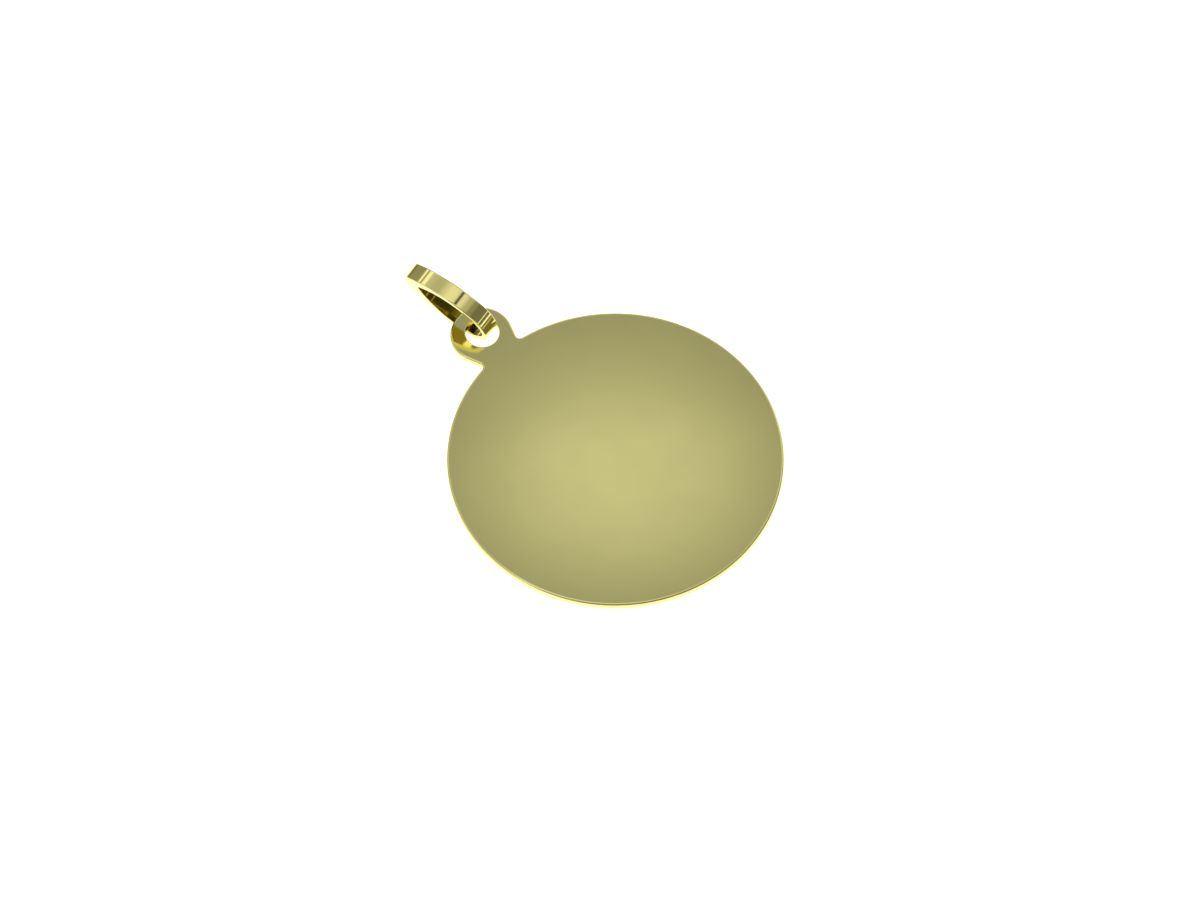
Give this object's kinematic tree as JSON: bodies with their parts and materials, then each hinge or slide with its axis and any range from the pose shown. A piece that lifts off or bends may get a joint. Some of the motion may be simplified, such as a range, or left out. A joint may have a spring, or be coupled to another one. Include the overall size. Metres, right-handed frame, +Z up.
{
  "type": "disc pendant",
  "caption": "Thin round disc pendant of plain polished metal with a pierced ear on its edge and an oval bail of flat strip through the ear, for hanging from a fine chain.",
  "frame": {"origin": "centre of the bounding box at its base, on the surface the pendant lies on", "axes": "+Z up, +Y from the disc towards the ear and the bail, +X across the disc"},
  "size_m": [0.02, 0.027, 0.0042],
  "materials": {
    "disc": "polished",
    "bail": "polished"
  },
  "bodies": {
    "root": {"disc": "disc", "bail": "bail"}
  },
  "joints": []
}
